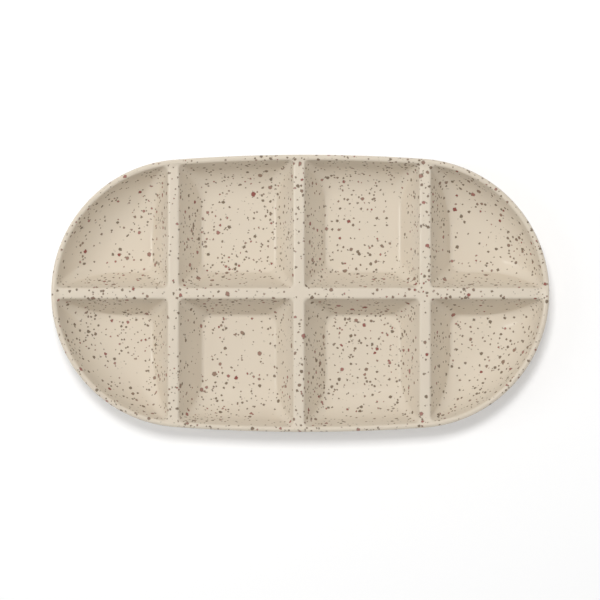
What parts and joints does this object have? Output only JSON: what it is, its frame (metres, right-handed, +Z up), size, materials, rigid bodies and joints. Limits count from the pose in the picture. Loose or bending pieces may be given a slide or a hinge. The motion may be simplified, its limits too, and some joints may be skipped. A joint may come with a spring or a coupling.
{
  "type": "divided serving dish",
  "caption": "Long oval stoneware serving dish with a bowl-like wall, low partitions that divide it into compartments, and a foot ring to stand on.",
  "frame": {"origin": "on the surface that the dish stands on, under the middle of the dish", "axes": "+X along the dish, +Y across it towards the far long side in the picture, +Z up"},
  "size_m": [0.36, 0.2, 0.038],
  "materials": {
    "glaze": "glossy beige glaze with brown specks",
    "bare_clay": "unglazed fired stoneware"
  },
  "bodies": {
    "root": {"floor_slab": "glaze", "foot_ring": "bare_clay", "side_wall_back": "glaze", "side_wall_front": "glaze", "end_wall_left": "glaze", "end_wall_right": "glaze", "long_divider": "glaze", "cross_divider_left_back": "glaze", "cross_divider_left_front": "glaze", "cross_divider_middle_back": "glaze", "cross_divider_middle_front": "glaze", "cross_divider_right_back": "glaze", "cross_divider_right_front": "glaze"}
  },
  "joints": []
}
